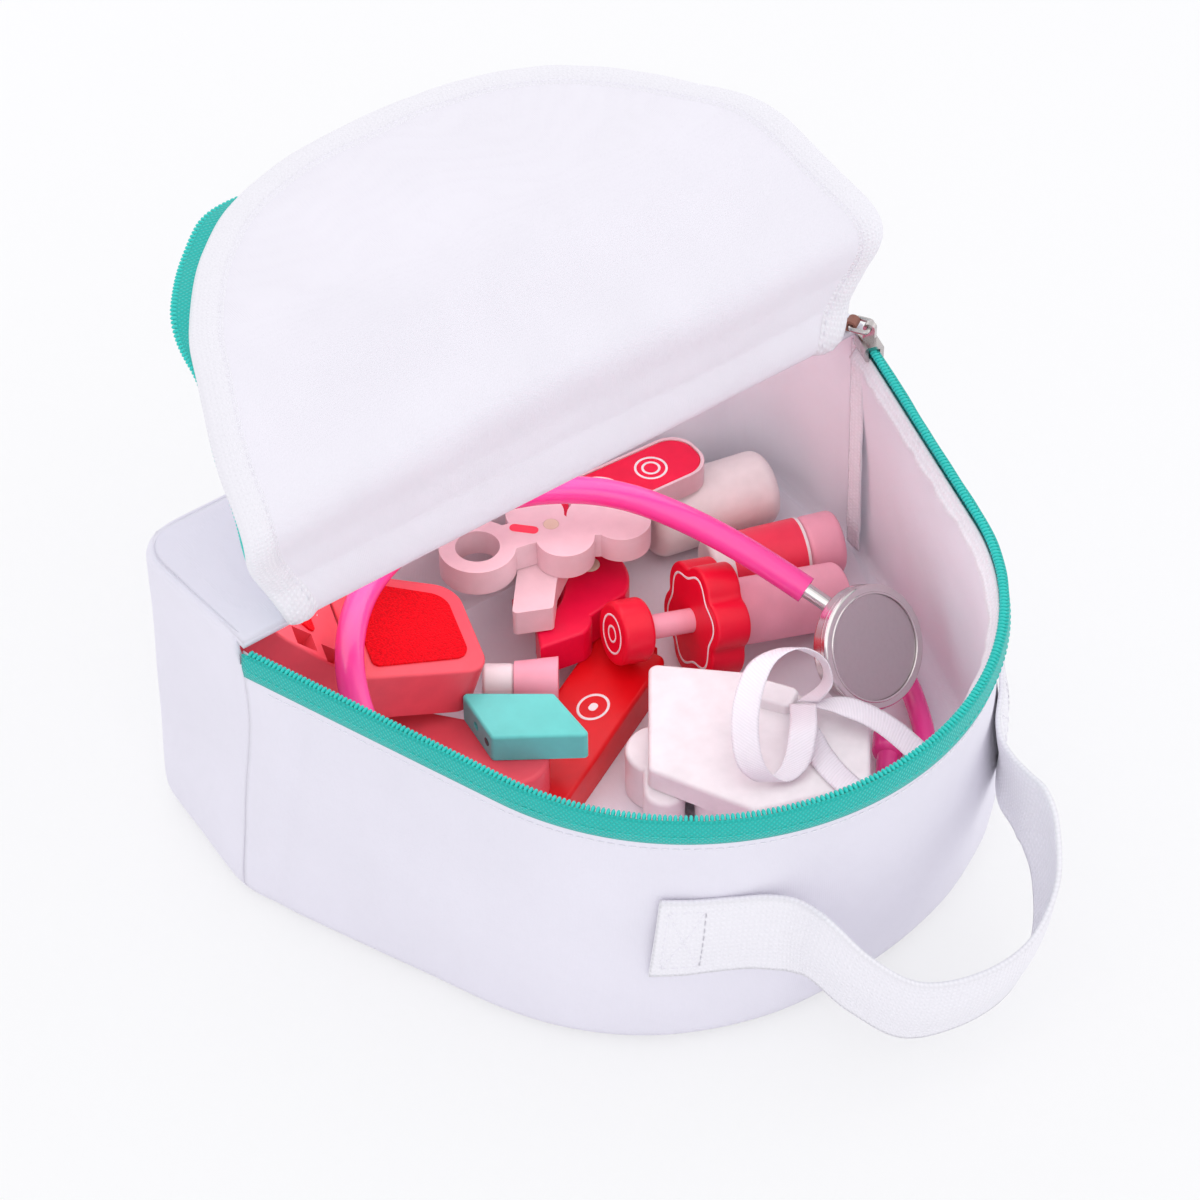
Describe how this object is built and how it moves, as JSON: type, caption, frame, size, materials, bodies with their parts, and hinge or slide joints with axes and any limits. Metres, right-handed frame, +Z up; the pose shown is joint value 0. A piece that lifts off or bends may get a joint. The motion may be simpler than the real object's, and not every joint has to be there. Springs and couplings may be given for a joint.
{
  "type": "toy doctor case",
  "caption": "Soft zipped D-shaped play case with a fold-back lid, front webbing handle and a heap of painted wooden doctor and dentist toys with a stethoscope.",
  "frame": {"origin": "on the resting plane, below the middle of the line where the lid folds", "axes": "+Z up; +X along the lid's fold line; -Y towards the rounded front with the handle"},
  "size_m": [0.244, 0.2935, 0.1847],
  "materials": {
    "cloth_white": "smooth white woven polyester",
    "lining_white": "soft white lining",
    "webbing_white": "ribbed white woven webbing",
    "zip_teal": "teal woven zip tape with moulded coil",
    "slider_metal": "polished cast metal",
    "pull_leather": "brown leather-look pull",
    "tube_magenta": "glossy magenta tubing",
    "steel": "polished steel",
    "diaphragm_grey": "brushed disc",
    "wood_red": "satin painted wood, red",
    "wood_crimson": "satin painted wood, crimson",
    "wood_salmon": "satin painted wood, salmon",
    "wood_pink": "satin painted wood, light pink",
    "wood_blush": "satin painted wood, pale pink",
    "wood_white": "satin painted wood, white",
    "wood_teal": "satin painted wood, teal",
    "wood_cream": "satin painted wood, cream",
    "label_salmon": "satin painted band, salmon",
    "felt_red": "red felt",
    "rivet_beige": "bare beech plug",
    "ribbon_white": "white satin ribbon"
  },
  "bodies": {
    "case": {"bottom_panel": "cloth_white", "front_wall": "cloth_white", "back_wall": "cloth_white", "top_strip": "cloth_white", "body_zip": "zip_teal", "handle_end_left": "webbing_white", "handle_end_right": "webbing_white", "chestpiece": "steel", "diaphragm": "diaphragm_grey", "chest_tube": "tube_magenta", "yoke": "tube_magenta", "ear_tube_front": "tube_magenta", "ear_tube_rear": "tube_magenta", "ear_tip_front": "tube_magenta", "ear_tip_rear": "tube_magenta", "syringe_barrel": "wood_pink", "finger_plate": "wood_red", "plier_arm_lower": "wood_crimson", "plier_rivet": "rivet_beige", "forcep_arm_lower": "wood_blush", "forcep_pin": "wood_blush", "paste_tube": "wood_red", "spatula": "wood_salmon", "handle_block": "wood_teal", "dropper": "wood_pink", "dropper_cap": "wood_white", "tooth": "wood_white", "badge_board": "wood_white", "badge_clip": "wood_cream", "ribbon": "ribbon_white", "ointment_jar": "wood_cream", "bottle": "wood_pink", "bottle_label": "label_salmon", "bottle_cap": "wood_pink", "thermometer": "wood_blush", "thermometer_face": "wood_crimson", "right_jaw": "wood_salmon", "right_felt": "felt_red", "left_jaw": "wood_salmon", "left_felt": "felt_red"},
    "lid_root": {"lid_panel_root": "lining_white", "lid_binding_root": "webbing_white"},
    "lid_middle": {"lid_panel_middle": "lining_white", "lid_binding_middle": "webbing_white", "lid_zip_middle": "zip_teal"},
    "lid_tip": {"lid_panel_tip": "lining_white", "lid_binding_tip": "webbing_white", "lid_zip_tip": "zip_teal"},
    "handle": {"handle_loop": "webbing_white"},
    "slider": {"zip_slider": "slider_metal"},
    "pull": {"pull_link": "slider_metal", "pull_tab": "pull_leather"},
    "plunger": {"plunger_rod": "wood_pink", "plunger_knob": "wood_red", "plunger_seal": "wood_white"},
    "plier_arm": {"plier_arm_upper": "wood_crimson"},
    "forcep_arm": {"forcep_arm_upper": "wood_blush"}
  },
  "joints": [
    {"name": "lid_fold", "type": "hinge", "parent": "case", "child": "lid_root", "pos_m": [0, 0, 0.10285], "axis": [1, 0, 0], "range_deg": [-15, 80.5]},
    {"name": "lid_bend_lower", "type": "hinge", "parent": "lid_root", "child": "lid_middle", "pos_m": [0, -0.00704, 0.1473], "axis": [1, 0, 0], "range_deg": [-11.68, 62.62]},
    {"name": "lid_bend_upper", "type": "hinge", "parent": "lid_middle", "child": "lid_tip", "pos_m": [0, 0.03341, 0.17669], "axis": [1, 0, 0], "range_deg": [-5.94, 31.81]},
    {"name": "handle_swing", "type": "hinge", "parent": "case", "child": "handle", "pos_m": [0.01, -0.16, 0.05], "axis": [-1, 0, 0], "range_deg": [-50, 100]},
    {"name": "slider_run", "type": "slide", "parent": "case", "child": "slider", "axis": [-0.3111, -0.9504, 0], "range_m": [0, 0.004]},
    {"name": "pull_swing", "type": "hinge", "parent": "slider", "child": "pull", "pos_m": [0.11671, -0.00524, 0.10515], "axis": [0.866, 0.5, 0], "range_deg": [0, 50]},
    {"name": "plunger_stroke", "type": "slide", "parent": "case", "child": "plunger", "axis": [0.9571, -0.233, -0.172], "range_m": [-0.001, 0.015]},
    {"name": "plier_pivot", "type": "hinge", "parent": "case", "child": "plier_arm", "pos_m": [0.028, 0.027, 0.025], "axis": [0, 0, -1], "range_deg": [0, 8]},
    {"name": "forcep_pivot", "type": "hinge", "parent": "case", "child": "forcep_arm", "pos_m": [0.017, 0.0325, 0.046], "axis": [0, 0, 1], "range_deg": [0, 10]}
  ],
  "couplings": [
    {"joint": "lid_bend_lower", "follows": "lid_fold", "ratio": 0.77778},
    {"joint": "lid_bend_upper", "follows": "lid_fold", "ratio": 0.39506}
  ]
}
